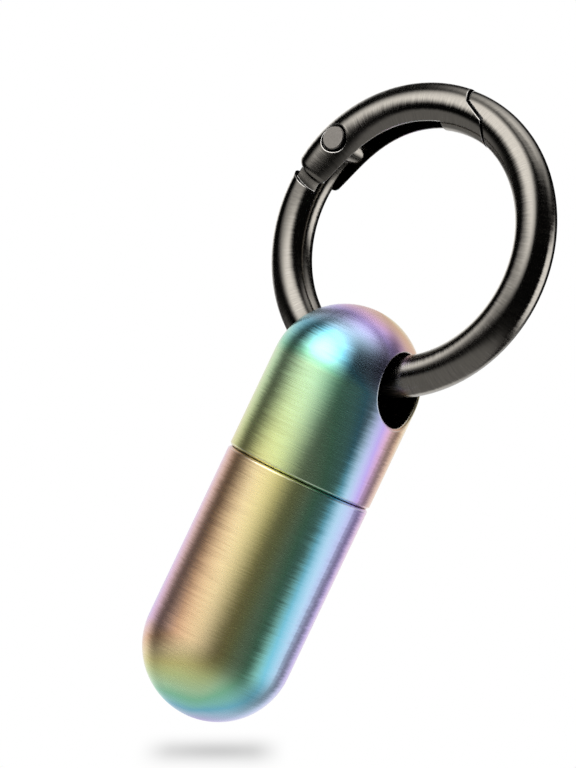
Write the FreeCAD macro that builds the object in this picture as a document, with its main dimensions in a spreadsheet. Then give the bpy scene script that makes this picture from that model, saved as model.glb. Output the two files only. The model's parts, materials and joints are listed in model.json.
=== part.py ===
import FreeCAD, Part
import math
import os
import re
import Sketcher

# Pill fob keychain: a two-part capsule that hangs from a ring with a spring gate.
# Frame: origin at the ring's centre, ring in the XZ plane, +Z up, capsule below along -Z.
# Millimetres and degrees. Ring angles are counted from +X towards +Z.

doc = FreeCAD.newDocument("pill_fob")
sheet = doc.addObject("Spreadsheet::Sheet", "sizes")

SIZES = [
    # ring
    ("ring_radius", 16.5),
    ("wire_diameter", 4.9),
    # hinge
    ("pin_angle", 154.0),
    ("pin_inset", 0.35),
    ("pin_diameter", 2.0),
    ("pin_head_diameter", 2.9),
    ("pin_head_height", 0.5),
    ("pin_head_chamfer", 0.12),
    ("pin_clearance", 0.05),
    ("spot_clearance", 0.3),
    ("spot_level", 2.35),
    ("shoulder_gap", 0.95),
    ("tongue_clearance", 0.1),
    ("knuckle_radius", 1.8),
    ("knuckle_shift", 0.4),
    ("knuckle_bulge_radius", 2.05),
    # gate
    ("gate_nose_diameter", 4.8),
    ("gate_nose_angle", 66.0),
    ("gate_hinge_depth", 6.56),
    ("gate_hinge_width", 5.7),
    ("gate_hinge_inset", 0.43),
    ("gate_tail_depth", 4.8),
    ("gate_tail_width", 4.7),
    ("gate_tail_outset", 0.2),
    ("gate_tail_angle", 182.0),
    ("tail_reach", 5.8),
    ("tail_round", 0.8),
    ("tail_tolerance", 0.05),
    ("channel_width", 3.2),
    ("channel_end_angle", 100.0),
    ("channel_far_angle", 192.0),
    ("roof_height", 1.9),
    ("roof_clearance", 0.15),
    # nose seam, two arcs about the pin joined by a slanted ledge
    ("nose_outer_reach", 18.0),
    ("nose_inner_reach", 19.8),
    ("nose_gap", 0.35),
    ("ledge_radius", 16.65),
    ("ledge_angle", 82.5),
    ("ledge_tilt", 25.0),
    ("seam_start_angle", 58.0),
    ("tongue_far_angle", 187.0),
    # gate spring
    ("spring_wire", 0.35),
    ("spring_coil_radius", 1.45),
    ("spring_pitch", 0.8),
    ("spring_turn_count", 2.0),
    ("spring_leg", 5.0),
    ("spring_leg_tilt", 6.5),
    ("spring_clearance", 0.1),
    ("spring_slot_radius", 1.95),
    # capsule
    ("capsule_diameter", 18.0),
    ("cap_length", 21.5),
    ("tube_length", 31.0),
    ("seam_gap", 0.1),
    ("seam_chamfer", 0.25),
    ("hole_clearance", 0.2),
    ("hole_mouth_share", 0.745),
    ("hole_rise", 1.7),
    ("hole_chamfer", 0.25),
    ("rim_tolerance", 0.05),
    # screw joint
    ("cap_wall", 1.25),
    ("neck_wall", 1.2),
    ("web_height", 1.5),
    ("neck_end_gap", 1.0),
    ("thread_pitch", 1.25),
    ("thread_depth", 0.55),
    ("thread_crest", 0.25),
    ("thread_flank_angle", 30.0),
    ("thread_clearance", 0.15),
    ("flank_clearance", 0.12),
    ("thread_overrun", 0.1),
    ("neck_chamfer", 0.4),
    ("collar_height", 0.5),
    ("collar_step", 0.3),
    ("relief_height", 0.8),
    ("relief_step", 0.05),
    ("socket_relief", 1.4),
    ("land_height", 2.5),
    ("land_step", 0.25),
    ("bore_chamfer", 0.3),
    # seal
    ("seal_section", 1.2),
    ("seal_clearance", 0.05),
    ("seal_groove_width", 1.5),
    # shared length of the tools that cut right through
    ("overrun", 6.0),
]

for row, (size_name, size_value) in enumerate(SIZES, start=1):
    sheet.set("A%d" % row, size_name)
    sheet.set("B%d" % row, str(size_value))
    sheet.setAlias("B%d" % row, size_name)
doc.recompute()

NAMES = re.compile(r"\b(" + "|".join(row[0] for row in SIZES) + r")\b")

# Sums that several pieces share
PIN_RADIUS = "(ring_radius - pin_inset)"
PIN_X = "(" + PIN_RADIUS + " * cos(pin_angle))"
PIN_Z = "(" + PIN_RADIUS + " * sin(pin_angle))"
TONGUE = "(channel_width / 2 - tongue_clearance)"
ROOF = "(" + PIN_RADIUS + " + roof_height)"
SPRING_WIDTH = "(spring_pitch * (spring_turn_count + (180 - pin_angle + spring_leg_tilt) / 360))"
SPRING_SLOT = "(" + SPRING_WIDTH + " + spring_wire + 2 * spring_clearance)"
CAPSULE_RADIUS = "(capsule_diameter / 2)"
LAND = "(capsule_diameter / 2 - cap_wall)"
MALE_CREST = "(" + LAND + " - land_step)"
MALE_ROOT = "(" + MALE_CREST + " - thread_depth)"
BORE = "(" + MALE_ROOT + " - neck_wall)"
FEMALE_CREST = "(" + MALE_ROOT + " + thread_clearance)"
FEMALE_ROOT = "(" + MALE_CREST + " + thread_clearance)"
GROOVE = "(" + LAND + " - seal_section - 2 * seal_clearance)"
COLLAR_LOW = "(seal_groove_width - seam_gap)"
RELIEF_LOW = "(" + COLLAR_LOW + " + collar_height)"
THREAD_LOW = "(" + RELIEF_LOW + " + relief_height)"
THREAD_START = "(" + RELIEF_LOW + " + relief_height / 2)"
MOUTH = "(capsule_diameter / 2 * hole_mouth_share)"
MOUTH_DEPTH = "sqrt(ring_radius * ring_radius - " + MOUTH + " * " + MOUTH + ")"
WIRE_ASLANT = "(wire_diameter / 2 * ring_radius / " + MOUTH_DEPTH + ")"
WIRE_AT_MOUTH = "(ring_radius - " + MOUTH_DEPTH + " + " + WIRE_ASLANT + ")"
HOLE = "(" + WIRE_AT_MOUTH + " + hole_clearance)"
HOLE_Z = "(cap_length - capsule_diameter / 2 + hole_rise)"
SOCKET = "(" + HOLE_Z + " - " + HOLE + " - web_height)"
NECK = "(" + SOCKET + " - neck_end_gap)"
SEAM_Z = "(capsule_diameter / 2 - ring_radius - hole_rise - cap_length)"


def formula(text):
    """Give every size name in the text its sheet in front."""
    return NAMES.sub(r"sizes.\1", text)


def number(text):
    """Work the formula out to a plain number."""
    found = sheet.evalExpression(formula(text))
    return float(getattr(found, "Value", found))


def bind(item, **texts):
    """Bind properties of a document object to formulas of sizes."""
    for prop, text in texts.items():
        item.setExpression(prop, formula(text))
    return item


def place(item, x="0", y="0", z="0", tilt="0", roll="0"):
    """Bind the placement: roll about X first, then tilt about Y, then the shift."""
    text = "placement(vector(%s; %s; %s); rotation(vector(0; 1; 0); %s) * rotation(vector(1; 0; 0); %s))"
    item.setExpression("Placement", formula(text % (x, y, z, tilt, roll)))
    return item


def cylinder_y(name, radius, half, x="0", z="0", low=None):
    """A cylinder along Y from low (or minus half) up to half."""
    start = low or "-(" + half + ")"
    item = doc.addObject("Part::Cylinder", name)
    bind(item, Radius=radius, Height="(" + half + ") - (" + start + ")")
    return place(item, x, half, z, "0", "90")


def sector_y(name, radius, half, start, end):
    """A slice of a disc about the ring's axis, between two ring angles."""
    item = doc.addObject("Part::Cylinder", name)
    bind(item, Radius=radius, Height="2 * (" + half + ")", Angle="(" + end + ") - (" + start + ")")
    return place(item, "0", half, "0", "-(" + start + ")", "90")


def box(name, length, width, height, x, y, z, tilt="0"):
    """A box from its corner, tilted about Y."""
    item = doc.addObject("Part::Box", name)
    bind(item, Length=length, Width=width, Height=height)
    return place(item, x, y, z, tilt)


def cut(name, base, tool):
    item = doc.addObject("Part::Cut", name)
    item.Base = base
    item.Tool = tool
    return item


def common(name, first, second):
    item = doc.addObject("Part::Common", name)
    item.Base = first
    item.Tool = second
    return item


def fuse(name, *shapes):
    item = doc.addObject("Part::MultiFuse", name)
    item.Shapes = list(shapes)
    return item


def plane_of(body, role):
    return next(item for item in body.Origin.OriginFeatures if item.Role == role)


def sketch_on(body, name, role):
    sketch = body.newObject("Sketcher::SketchObject", name)
    sketch.AttachmentSupport = [(plane_of(body, role), "")]
    sketch.MapMode = "FlatFace"
    return sketch


def hold(sketch, geometry, spot, text, across, label):
    """Hold one coordinate of a sketch point at a formula."""
    if text == "0":
        axis = -2 if across else -1
        sketch.addConstraint(Sketcher.Constraint("PointOnObject", geometry, spot, axis))
        return
    kind = "DistanceX" if across else "DistanceY"
    index = sketch.addConstraint(Sketcher.Constraint(kind, -1, 1, geometry, spot, number(text)))
    sketch.renameConstraint(index, label)
    sketch.setExpression("Constraints." + label, formula(text))


def outline(sketch, points):
    """Draw a closed outline. A point is (x, y), or (x, y, height) to reach the next
    point by a round arc whose centre is on the upright axis at that height."""
    spots = [FreeCAD.Vector(number(point[0]), number(point[1]), 0) for point in points]
    ends = []
    for index, point in enumerate(points):
        here = spots[index]
        there = spots[(index + 1) % len(points)]
        if len(point) == 2:
            geometry = sketch.addGeometry(Part.LineSegment(here, there), False)
            ends.append((geometry, 1, 2))
            continue
        centre = FreeCAD.Vector(0, number(point[2]), 0)
        ray = here - centre
        goal = there - centre
        start = math.atan2(ray.y, ray.x)
        finish = math.atan2(goal.y, goal.x)
        circle = Part.Circle(centre, FreeCAD.Vector(0, 0, 1), ray.Length)
        forward = finish > start
        arc = Part.ArcOfCircle(circle, min(start, finish), max(start, finish))
        geometry = sketch.addGeometry(arc, False)
        ends.append((geometry, 1, 2) if forward else (geometry, 2, 1))
        sketch.addConstraint(Sketcher.Constraint("PointOnObject", geometry, 3, -2))
    for index, (geometry, first, last) in enumerate(ends):
        following = ends[(index + 1) % len(ends)]
        join = Sketcher.Constraint("Coincident", geometry, last, following[0], following[1])
        sketch.addConstraint(join)
    for index, point in enumerate(points):
        geometry, first, last = ends[index]
        hold(sketch, geometry, first, point[0], True, "x%d" % index)
        hold(sketch, geometry, first, point[1], False, "y%d" % index)
    return sketch


def turned(body, name, points):
    """Turn an outline of radius and height about the body's upright axis."""
    sketch = outline(sketch_on(body, name + "_outline", "XZ_Plane"), points)
    feature = body.newObject("PartDesign::Revolution", name)
    feature.Profile = sketch
    feature.ReferenceAxis = (sketch, ["V_Axis"])
    feature.Angle = 360
    sketch.Visibility = False
    doc.recompute()
    return feature


def thread_cut(body, name, points, turns):
    """Cut a right-hand thread groove whose section is the outline."""
    sketch = outline(sketch_on(body, name + "_section", "XZ_Plane"), points)
    feature = body.newObject("PartDesign::SubtractiveHelix", name)
    feature.Profile = sketch
    feature.ReferenceAxis = (sketch, ["V_Axis"])
    feature.Mode = 1
    bind(feature, Pitch="thread_pitch", Turns=turns)
    feature.LeftHanded = False
    sketch.Visibility = False
    doc.recompute()
    return feature


# Points at which an edge is tested, and how far from nose to hinge the gate's sections stand
RIM_SAMPLES = 9
TAPER_SHARES = (0.0, 0.25, 0.5, 0.75, 1.0)

# Ring: what the gate and the body share about the pin


def nose_zone(name, gap):
    """The room inside the nose seam: two discs about the pin, the larger below the ledge."""
    half = "overrun"
    outer = cylinder_y(name + "_outer", "nose_outer_reach + " + gap, half, PIN_X, PIN_Z)
    inner = cylinder_y(name + "_inner", "nose_inner_reach + " + gap, half, PIN_X, PIN_Z)
    drop = "(" + gap + " - ring_radius)"
    corner_x = "ledge_radius * cos(ledge_angle) - ring_radius * cos(ledge_tilt) + "
    corner_z = "ledge_radius * sin(ledge_angle) + ring_radius * sin(ledge_tilt) + "
    under = box(
        name + "_under",
        "2 * ring_radius",
        "2 * overrun",
        "ring_radius",
        corner_x + drop + " * sin(ledge_tilt)",
        "-overrun",
        corner_z + drop + " * cos(ledge_tilt)",
        "ledge_tilt",
    )
    lower = common(name + "_lower", inner, under)
    both = fuse(name + "_both", outer, lower)
    slice_y = sector_y(name + "_slice", "2 * ring_radius", half, "seam_start_angle", "pin_angle")
    return common(name, both, slice_y)


def section_oval(name, depth, width, angle, shift="0"):
    """An oval section square to the ring's centre line at a ring angle, deep along the radius."""
    item = doc.addObject("Part::Ellipse", name)
    bind(item, MajorRadius=depth + " / 2", MinorRadius=width + " / 2")
    x = "(ring_radius + " + shift + ") * cos(" + angle + ")"
    z = "(ring_radius + " + shift + ") * sin(" + angle + ")"
    return place(item, x, "0", z, "-(" + angle + ")")


# Ring body

wire = doc.addObject("Part::Torus", "wire")
bind(wire, Radius1="ring_radius", Radius2="wire_diameter / 2")
place(wire, "0", "0", "0", "0", "90")
shoulder = cylinder_y("shoulder", "tail_reach + shoulder_gap", "overrun", PIN_X, PIN_Z)
open_ring = cut("open_ring", wire, fuse("gate_room", nose_zone("nose_room", "nose_gap / 2"), shoulder))

tongue_wire = doc.addObject("Part::Torus", "tongue_wire")
bind(tongue_wire, Radius1="ring_radius", Radius2="wire_diameter / 2")
place(tongue_wire, "0", "0", "0", "0", "90")
tongue_slice = sector_y("tongue_slice", ROOF + " - roof_clearance", TONGUE, "pin_angle", "tongue_far_angle")
tongue = common("tongue", tongue_wire, tongue_slice)
knuckle = cylinder_y("knuckle", "knuckle_radius", TONGUE, PIN_X, PIN_Z)
bulge_x = "(" + PIN_RADIUS + " - knuckle_shift) * cos(pin_angle)"
bulge_z = "(" + PIN_RADIUS + " - knuckle_shift) * sin(pin_angle)"
bulge = cylinder_y("bulge", "knuckle_bulge_radius", TONGUE, bulge_x, bulge_z)
solid_ring = fuse("solid_ring", open_ring, tongue, knuckle, bulge)

pin_bore = cylinder_y("pin_bore", "pin_diameter / 2", "overrun", PIN_X, PIN_Z)
coil_slot = cylinder_y("coil_slot", "spring_slot_radius", SPRING_SLOT + " / 2", PIN_X, PIN_Z)
LEG_SIDE = "(" + PIN_X + " - spring_coil_radius + spring_wire / 2 + spring_clearance)"
leg_slot = box(
    "leg_slot",
    "overrun",
    SPRING_SLOT,
    "spring_leg + spring_clearance",
    LEG_SIDE + " - overrun",
    "-" + SPRING_SLOT + " / 2",
    PIN_Z + " - spring_leg - spring_clearance",
)
ring_body = cut("ring_body", solid_ring, fuse("ring_cuts", pin_bore, coil_slot, leg_slot))

# Gate

spine = doc.addObject("Part::Circle", "gate_spine")
bind(spine, Radius="ring_radius", Angle1="gate_nose_angle", Angle2="gate_tail_angle")
place(spine, "0", "0", "0", "0", "90")
bar = doc.addObject("Part::Sweep", "gate_bar")
taper = []
for index, share in enumerate(TAPER_SHARES):
    sums = [
        "(%s + (%s - %s) * %s)" % (nose, hinge, nose, share)
        for nose, hinge in (
            ("gate_nose_diameter", "gate_hinge_depth"),
            ("gate_nose_diameter", "gate_hinge_width"),
            ("gate_nose_angle", "pin_angle"),
            ("0", "-gate_hinge_inset"),
        )
    ]
    taper.append(section_oval("taper_section_%d" % index, *sums))
tail_section = section_oval(
    "tail_section", "gate_tail_depth", "gate_tail_width", "gate_tail_angle", "gate_tail_outset"
)
bar.Sections = taper + [tail_section]
bar.Spine = (spine, ["Edge1"])
bar.Solid = True
bar.Frenet = False

tail_ball = doc.addObject("Part::Sphere", "tail_ball")
bind(tail_ball, Radius="tail_reach")
place(tail_ball, PIN_X, "0", PIN_Z)
gate_room = fuse("gate_limits", nose_zone("nose_limit", "-nose_gap / 2"), tail_ball)
gate_bar = common("gate_trimmed", bar, gate_room)
doc.recompute()


def is_tail_rim(edge):
    """True for an edge of the tail's end, which lies on the ball about the pin."""
    if edge.Degenerated:
        return False
    pin = FreeCAD.Vector(number(PIN_X), 0, number(PIN_Z))
    off = [abs((spot - pin).Length - number("tail_reach")) for spot in edge.discretize(Number=RIM_SAMPLES)]
    return max(off) < number("tail_tolerance")


gate_edges = enumerate(gate_bar.Shape.Edges, start=1)
tail_rims = [index for index, edge in gate_edges if is_tail_rim(edge)]
print("tail rim edges", tail_rims)
gate_solid = doc.addObject("Part::Fillet", "gate_rounded")
gate_solid.Base = gate_bar
gate_solid.Edges = [(index, number("tail_round"), number("tail_round")) for index in tail_rims]
doc.recompute()

channel = sector_y("channel", ROOF, "channel_width / 2", "channel_end_angle", "channel_far_angle")
gate_bore = cylinder_y("gate_bore", "pin_diameter / 2 + pin_clearance", "overrun", PIN_X, PIN_Z)
SPOT = "pin_head_diameter / 2 + spot_clearance"
spot_back = cylinder_y("spot_back", SPOT, "overrun", PIN_X, PIN_Z, "spot_level")
spot_front = cylinder_y("spot_front", SPOT, "-spot_level", PIN_X, PIN_Z, "-overrun")
ring_gate = cut("ring_gate", gate_solid, fuse("gate_cuts", channel, gate_bore, spot_back, spot_front))

# Hinge pin, turned about its own upright axis and then laid along Y

hinge_pin = doc.addObject("PartDesign::Body", "hinge_pin")
SEAT = "(spot_level + pin_clearance)"
FACE = "(" + SEAT + " + pin_head_height)"
HEAD = "pin_head_diameter / 2"
turned(
    hinge_pin,
    "pin_turned",
    [
        ("0", "-" + FACE),
        (HEAD + " - pin_head_chamfer", "-" + FACE),
        (HEAD, "pin_head_chamfer - " + FACE),
        (HEAD, "-" + SEAT),
        ("pin_diameter / 2", "-" + SEAT),
        ("pin_diameter / 2", SEAT),
        (HEAD, SEAT),
        (HEAD, FACE + " - pin_head_chamfer"),
        (HEAD + " - pin_head_chamfer", FACE),
        ("0", FACE),
    ],
)
place(hinge_pin, PIN_X, "0", PIN_Z, "0", "90")

# Gate spring: one leg under the gate's roof, the coil round the pin, one leg down the tongue


def biarc(start, aim, end, goal):
    """Two arcs that meet smoothly, from a point and direction to a point and direction."""
    reach = end - start
    both = aim + goal
    bend = 2 * (1 - aim.dot(goal))
    along = reach.dot(both)
    arm = (math.sqrt(along * along + bend * reach.dot(reach)) - along) / bend
    middle = (start + end + (aim - goal) * arm) * 0.5
    edges = []
    for first, corner, last in (
        (start, start + aim * arm, middle),
        (middle, end - goal * arm, end),
    ):
        lean = (corner - first).getAngle(last - first)
        weight = math.cos(lean)
        top = (first + corner * (2 * weight) + last) * (1 / (2 + 2 * weight))
        edges.append(Part.Arc(first, top, last).toShape())
    return edges


def spring_shape():
    """The spring as one tube, its least gap to itself printed."""
    radius = number("spring_coil_radius")
    leg = number("spring_leg")
    begin = number("pin_angle - spring_leg_tilt")
    sweep = number("360 * spring_turn_count + 180 - pin_angle + spring_leg_tilt")
    width = number(SPRING_WIDTH)
    centre = FreeCAD.Vector(number(PIN_X), 0, number(PIN_Z))
    steps = 4 * math.ceil(sweep / 360)
    spots = []
    aims = []
    for step in range(steps + 1):
        share = step / steps
        angle = math.radians(begin + share * sweep)
        out = FreeCAD.Vector(math.cos(angle), 0, math.sin(angle))
        aim = FreeCAD.Vector(-math.sin(angle), 0, math.cos(angle))
        if 0 < step < steps:
            aim.y = width / (math.radians(sweep) * radius)
        spots.append(centre + out * radius + FreeCAD.Vector(0, width * (share - 0.5), 0))
        aims.append(aim.normalize())
    tip = spots[0] - aims[0] * leg
    foot = spots[-1] + aims[-1] * leg
    edges = [Part.makeLine(tip, spots[0])]
    for step in range(steps):
        edges += biarc(spots[step], aims[step], spots[step + 1], aims[step + 1])
    edges.append(Part.makeLine(spots[-1], foot))
    path = Part.Wire(edges)
    ring = Part.makeCircle(number("spring_wire / 2"), tip, aims[0])
    pipe = Part.BRepOffsetAPI.MakePipeShell(path)
    pipe.add(Part.Wire([ring]))
    pipe.build()
    pipe.makeSolid()
    points = path.discretize(Distance=number("spring_wire / 4"))
    turn = 2 * math.pi * radius
    walked = [0.0]
    for first, second in zip(points, points[1:]):
        walked.append(walked[-1] + (second - first).Length)
    least = min(
        (points[one] - points[two]).Length
        for one in range(len(points))
        for two in range(one)
        if walked[one] - walked[two] > turn / 2
    )
    print("spring least gap to itself: %.3f mm" % (least - number("spring_wire")))
    return pipe.shape()


gate_spring = doc.addObject("Part::Feature", "gate_spring")
gate_spring.Shape = spring_shape()

# Capsule cap, its seam at height zero of the body

capsule_cap = doc.addObject("PartDesign::Body", "capsule_cap")
turned(
    capsule_cap,
    "cap_turned",
    [
        (LAND, "0"),
        (CAPSULE_RADIUS + " - seam_chamfer", "0"),
        (CAPSULE_RADIUS, "seam_chamfer"),
        (CAPSULE_RADIUS, "cap_length - " + CAPSULE_RADIUS, "cap_length - " + CAPSULE_RADIUS),
        ("0", "cap_length"),
        ("0", SOCKET),
        (LAND, SOCKET),
        (LAND, SOCKET + " - socket_relief"),
        (FEMALE_CREST, SOCKET + " - socket_relief"),
        (FEMALE_CREST, "land_height + " + LAND + " - " + FEMALE_CREST),
        (LAND, "land_height"),
    ],
)
FLANK = "tan(thread_flank_angle)"
CAP_START = "(" + THREAD_START + " - thread_pitch / 2)"
GROOVE_DEPTH = "(thread_depth - thread_clearance + thread_overrun)"
WIDE_IN = "(thread_crest / 2 + flank_clearance + " + GROOVE_DEPTH + " * " + FLANK + ")"
WIDE_OUT = "(thread_crest / 2 + flank_clearance - thread_clearance * " + FLANK + ")"
thread_cut(
    capsule_cap,
    "cap_thread",
    [
        (FEMALE_CREST + " - thread_overrun", CAP_START + " - " + WIDE_IN),
        (FEMALE_ROOT, CAP_START + " - " + WIDE_OUT),
        (FEMALE_ROOT, CAP_START + " + " + WIDE_OUT),
        (FEMALE_CREST + " - thread_overrun", CAP_START + " + " + WIDE_IN),
    ],
    "(" + SOCKET + " - socket_relief / 2 - " + CAP_START + ") / thread_pitch",
)
hole_sketch = sketch_on(capsule_cap, "hole_circle", "YZ_Plane")
hole_spot = FreeCAD.Vector(0, number(HOLE_Z), 0)
hole_ring = Part.Circle(hole_spot, FreeCAD.Vector(0, 0, 1), number(HOLE))
hole_edge = hole_sketch.addGeometry(hole_ring, False)
hold(hole_sketch, hole_edge, 3, "0", True, "x0")
hold(hole_sketch, hole_edge, 3, HOLE_Z, False, "y0")
hole_size = hole_sketch.addConstraint(Sketcher.Constraint("Radius", hole_edge, number(HOLE)))
hole_sketch.renameConstraint(hole_size, "across")
hole_sketch.setExpression("Constraints.across", formula(HOLE))
before = capsule_cap.Shape.Volume
cross_hole = capsule_cap.newObject("PartDesign::Pocket", "cross_hole")
cross_hole.Profile = hole_sketch
cross_hole.Type = "Length"
bind(cross_hole, Length="2 * capsule_diameter")
cross_hole.Midplane = True
doc.recompute()
print("cross hole takes %.1f mm3" % (before - capsule_cap.Shape.Volume))


def is_hole_rim(edge):
    """True for an edge on the hole's wall, on one side of the capsule."""
    radius = number(HOLE)
    height = number(HOLE_Z)
    room = edge.BoundBox
    if edge.Degenerated or room.YLength < radius or room.XMin * room.XMax < 0:
        return False
    spots = edge.discretize(Number=RIM_SAMPLES)
    off = [abs(math.hypot(spot.y, spot.z - height) - radius) for spot in spots]
    return max(off) < number("rim_tolerance")


cap_edges = cross_hole.Shape.Edges
hole_rims = ["Edge%d" % index for index, edge in enumerate(cap_edges, start=1) if is_hole_rim(edge)]
print("hole rim edges", hole_rims)
rim = capsule_cap.newObject("PartDesign::Chamfer", "hole_rim")
rim.Base = (cross_hole, hole_rims)
bind(rim, Size="hole_chamfer")
doc.recompute()
bind(capsule_cap, **{"Placement.Base.z": SEAM_Z})

# Capsule tube, in the same body frame

capsule_tube = doc.addObject("PartDesign::Body", "capsule_tube")
turned(
    capsule_tube,
    "tube_turned",
    [
        ("0", "-tube_length", CAPSULE_RADIUS + " - tube_length"),
        (CAPSULE_RADIUS, CAPSULE_RADIUS + " - tube_length"),
        (CAPSULE_RADIUS, "-seam_gap - seam_chamfer"),
        (CAPSULE_RADIUS + " - seam_chamfer", "-seam_gap"),
        (GROOVE, "-seam_gap"),
        (GROOVE, COLLAR_LOW),
        (MALE_CREST + " - collar_step", COLLAR_LOW),
        (MALE_CREST + " - collar_step", RELIEF_LOW),
        (MALE_ROOT + " - relief_step", RELIEF_LOW),
        (MALE_ROOT + " - relief_step", THREAD_LOW),
        (MALE_CREST, THREAD_LOW),
        (MALE_CREST, NECK + " - neck_chamfer"),
        (MALE_CREST + " - neck_chamfer", NECK),
        (BORE + " + bore_chamfer", NECK),
        (BORE, NECK + " - bore_chamfer"),
        (
            BORE,
            CAPSULE_RADIUS + " - tube_length",
            CAPSULE_RADIUS + " - tube_length",
        ),
        ("0", CAPSULE_RADIUS + " - tube_length - " + BORE),
    ],
)
WIDE_ROOT = "((thread_pitch - thread_crest) / 2 - thread_depth * " + FLANK + ")"
WIDE_CREST = "((thread_pitch - thread_crest) / 2 + thread_overrun * " + FLANK + ")"
thread_cut(
    capsule_tube,
    "tube_thread",
    [
        (MALE_ROOT, THREAD_START + " - " + WIDE_ROOT),
        (MALE_CREST + " + thread_overrun", THREAD_START + " - " + WIDE_CREST),
        (MALE_CREST + " + thread_overrun", THREAD_START + " + " + WIDE_CREST),
        (MALE_ROOT, THREAD_START + " + " + WIDE_ROOT),
    ],
    "(" + NECK + " - " + THREAD_START + ") / thread_pitch + 1",
)
bind(capsule_tube, **{"Placement.Base.z": SEAM_Z})

# Seal ring

seal_ring = doc.addObject("Part::Torus", "seal_ring")
bind(seal_ring, Radius1=GROOVE + " + seal_clearance + seal_section / 2", Radius2="seal_section / 2")
place(seal_ring, "0", "0", SEAM_Z + " + (" + COLLAR_LOW + " - seam_gap) / 2")

# Check every object and write the sub-parts

doc.recompute()
PARTS = [ring_body, ring_gate, hinge_pin, gate_spring, capsule_cap, seal_ring, capsule_tube]
for item in doc.Objects:
    if "Invalid" in item.State or "Error" in item.State:
        raise RuntimeError("%s is not built: %s" % (item.Name, item.State))
os.makedirs("parts", exist_ok=True)
for item in PARTS:
    shape = item.Shape
    if shape.isNull() or not shape.isValid() or len(shape.Solids) != 1:
        raise RuntimeError("%s has no sound solid" % item.Name)
    item.Label = item.Name
    shape.exportStep("parts/" + item.Label + ".step")
    print("%s %.2f mm3" % (item.Label, shape.Volume))
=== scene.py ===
import json
import math
from typing import NamedTuple

import bpy
from mathutils import Matrix, Vector


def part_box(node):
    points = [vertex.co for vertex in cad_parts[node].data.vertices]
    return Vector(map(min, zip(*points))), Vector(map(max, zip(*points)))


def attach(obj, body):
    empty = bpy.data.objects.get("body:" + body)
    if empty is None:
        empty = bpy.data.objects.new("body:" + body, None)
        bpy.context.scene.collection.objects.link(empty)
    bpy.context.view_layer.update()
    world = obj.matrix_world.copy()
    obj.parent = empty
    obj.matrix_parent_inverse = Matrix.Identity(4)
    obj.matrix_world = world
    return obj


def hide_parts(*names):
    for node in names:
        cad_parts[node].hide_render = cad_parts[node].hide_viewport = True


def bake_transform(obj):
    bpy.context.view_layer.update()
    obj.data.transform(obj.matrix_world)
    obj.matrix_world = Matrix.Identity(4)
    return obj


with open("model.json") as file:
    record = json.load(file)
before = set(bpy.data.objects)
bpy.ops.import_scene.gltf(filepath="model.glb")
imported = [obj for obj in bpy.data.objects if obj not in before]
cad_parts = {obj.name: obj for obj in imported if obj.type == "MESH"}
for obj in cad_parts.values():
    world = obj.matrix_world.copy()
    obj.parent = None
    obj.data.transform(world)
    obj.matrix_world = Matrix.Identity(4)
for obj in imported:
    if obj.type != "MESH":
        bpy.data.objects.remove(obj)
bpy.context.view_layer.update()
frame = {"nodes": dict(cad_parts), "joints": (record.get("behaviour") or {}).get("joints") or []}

bl_info = {
    "name": "Pill Fob Dresser",
    "version": (1, 0, 0),
    "blender": (4, 5, 0),
    "location": "View3D > Sidebar > Pill Fob",
    "description": "Finishes a capsule pill fob and its spring-gate ring around the packed model",
    "category": "Object",
}

MM = 0.001

# Places that the frame gives
JOINTS = {joint["name"]: joint for joint in frame["joints"]}
PIN = Vector(JOINTS["gate_hinge"]["pos_m"])
PIN_LOW, PIN_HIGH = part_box("hinge_pin")
PIN_RADIUS = (PIN_HIGH[0] - PIN_LOW[0]) / 2
RING_LOW, RING_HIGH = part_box("ring_body")
WIRE_RADIUS = RING_HIGH[1]
RING_RADIUS = -RING_LOW[2] - WIRE_RADIUS
SEAL_LOW, SEAL_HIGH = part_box("seal_ring")
CAP_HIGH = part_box("capsule_cap")[1]
TUBE_LOW, TUBE_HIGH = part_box("capsule_tube")
CAPSULE_RADIUS = TUBE_HIGH[0]
CAP_DOME_Z = CAP_HIGH[2] - CAPSULE_RADIUS
TUBE_DOME_Z = TUBE_LOW[2] + CAPSULE_RADIUS


def linear(code):
    """Turn an sRGB hex colour to linear RGBA."""
    channels = [int(code[start:start + 2], 16) / 255 for start in (1, 3, 5)]
    spread = [c / 12.92 if c <= 0.04045 else ((c + 0.055) / 1.055) ** 2.4 for c in channels]
    return (*spread, 1.0)


def add_node(tree, kind, inputs=None, stops=None, points=None, **settings):
    """Add a node, set its properties, fill its colour ramp or curve, and set or link its inputs.

    Stops are pairs of position and sRGB hex, and points lie inside the unit square."""
    node = tree.nodes.new(kind)
    for key, value in settings.items():
        setattr(node, key, value)
    for index, (position, code) in enumerate(stops or []):
        elements = node.color_ramp.elements
        if index == 0:
            elements.remove(elements[-1])
        element = elements.new(position) if index else elements[0]
        element.position = position
        element.color = linear(code)
    if points:
        curve = node.mapping.curves[0].points
        curve[0].location, curve[-1].location = points[0], points[-1]
        for point in points[1:-1]:
            curve.new(*point)
        node.mapping.update()
    for key, value in (inputs or {}).items():
        if isinstance(value, bpy.types.NodeSocket):
            tree.links.new(value, node.inputs[key])
        else:
            node.inputs[key].default_value = value
    return node


def new_material(name):
    """Start an empty node material and give its tree."""
    material = bpy.data.materials.new(name)
    material.use_nodes = True
    material.node_tree.nodes.clear()
    return material, material.node_tree


def finish_node(node_name, material):
    """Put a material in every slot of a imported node."""
    for slot in frame["nodes"][node_name].material_slots:
        slot.material = material


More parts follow.
